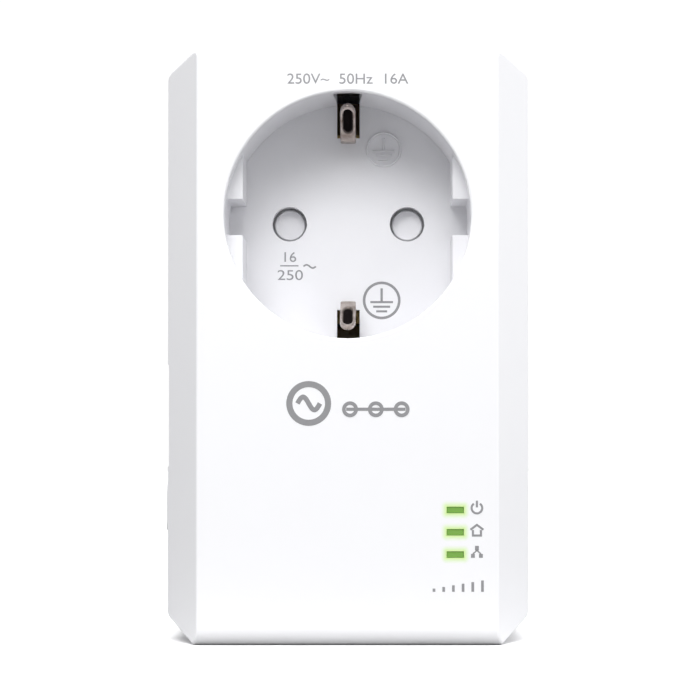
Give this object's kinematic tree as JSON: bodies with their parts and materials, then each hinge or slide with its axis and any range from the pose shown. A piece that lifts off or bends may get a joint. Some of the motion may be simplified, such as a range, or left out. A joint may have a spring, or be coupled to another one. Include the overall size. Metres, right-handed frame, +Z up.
{
  "type": "powerline adapter",
  "caption": "Wall-plug powerline network adapter with an earthed pass-through socket, status lamps, an Ethernet port and a pairing button.",
  "frame": {"origin": "where the plug's axis meets the wall-side plane of the rear cover", "axes": "+Y into the wall along the plug pins, -Y out of the front face, +Z up, +X right as seen from the front"},
  "size_m": [0.0579, 0.0775, 0.0924],
  "materials": {
    "front_cover_white": "satin white moulding",
    "rear_cover_white": "fine-textured white moulding",
    "screw_steel": "zinc-plated steel",
    "insert_white": "smooth white moulding",
    "shutter_white": "white moulding",
    "spring_steel": "drawn spring wire",
    "carrier_grey": "glass-filled grey moulding",
    "contact_brass": "rolled brass strip",
    "earth_spring": "nickel-plated bronze strip",
    "plug_white": "white thermoset moulding",
    "plug_nickel": "nickel-plated brass",
    "board_green": "green solder resist",
    "board_brown": "paper laminate board",
    "light_pipe_clear": "clear moulding, lit green",
    "led_green": "green lamp",
    "jack_steel": "tinned steel",
    "jack_black": "black moulding",
    "gold_wire": "gold-plated wire",
    "button_white": "satin white moulding",
    "plunger_black": "black moulding",
    "switch_grey": "grey moulding",
    "chip_black": "moulded epoxy",
    "sink_aluminium": "anodised extrusion",
    "crystal_can": "plated can",
    "ferrite": "ferrite core",
    "winding_tape": "yellow tape over a winding",
    "can_sleeve_black": "shrink sleeve over an aluminium can",
    "can_sleeve_green": "shrink sleeve over an aluminium can",
    "xcap_yellow": "yellow moulded box",
    "copper_winding": "enamelled copper",
    "varistor_blue": "blue epoxy coat",
    "fuse_brown": "brown moulded box",
    "connector_black": "black moulding with tinned pins",
    "smd_ceramic": "ceramic chips"
  },
  "bodies": {
    "case": {"front_cover": "front_cover_white", "rear_cover": "rear_cover_white", "case_screws": "screw_steel", "socket_insert": "insert_white", "insert_screws": "screw_steel", "shutter_spring": "spring_steel", "contact_carrier": "carrier_grey", "carrier_screws": "screw_steel", "live_contact": "contact_brass", "neutral_contact": "contact_brass", "earth_bridge": "contact_brass", "plug_body": "plug_white", "plug_screws": "screw_steel", "plug_earth_strips": "plug_nickel", "live_pin": "plug_nickel", "neutral_pin": "plug_nickel", "main_board": "board_green", "board_screws": "screw_steel", "power_board": "board_brown", "power_screws": "screw_steel", "light_pipe": "light_pipe_clear", "status_leds": "led_green", "ethernet_shell": "jack_steel", "ethernet_insert": "jack_black", "ethernet_contacts": "gold_wire", "tact_switch": "switch_grey", "main_chip": "chip_black", "heat_sink": "sink_aluminium", "memory_chip": "chip_black", "ethernet_chip": "chip_black", "ethernet_magnetics": "chip_black", "crystal": "crystal_can", "coupling_transformer": "ferrite", "flyback_transformer": "winding_tape", "bulk_capacitors": "can_sleeve_black", "output_capacitors": "can_sleeve_green", "x_capacitor": "xcap_yellow", "common_mode_choke": "copper_winding", "varistor": "varistor_blue", "fuse": "fuse_brown", "bridge_rectifier": "chip_black", "board_connector": "connector_black", "small_components": "smd_ceramic"},
    "pair_button": {"pair_button": "button_white", "switch_plunger": "plunger_black"},
    "shutter": {"shutter": "shutter_white"},
    "earth_clip_upper": {"earth_clip_upper": "earth_spring"},
    "earth_clip_lower": {"earth_clip_lower": "earth_spring"}
  },
  "joints": [
    {"name": "pair_button_press", "type": "slide", "parent": "case", "child": "pair_button", "axis": [1, 0, 0], "range_m": [0, 0.0005], "stiffness_N_per_m": 3000},
    {"name": "shutter_turn", "type": "hinge", "parent": "case", "child": "shutter", "pos_m": [0, -0.0197, 0], "axis": [0, -1, 0], "range_deg": [0, 40], "stiffness_Nm_per_rad": 0.004, "deforming": ["shutter_spring"]},
    {"name": "earth_clip_upper_flex", "type": "hinge", "parent": "case", "child": "earth_clip_upper", "pos_m": [0, -0.01867, 0.0149], "axis": [1, 0, 0], "range_deg": [-5, 0], "stiffness_Nm_per_rad": 2},
    {"name": "earth_clip_lower_flex", "type": "hinge", "parent": "case", "child": "earth_clip_lower", "pos_m": [0, -0.01867, -0.0149], "axis": [1, 0, 0], "range_deg": [0, 5], "stiffness_Nm_per_rad": 2}
  ]
}
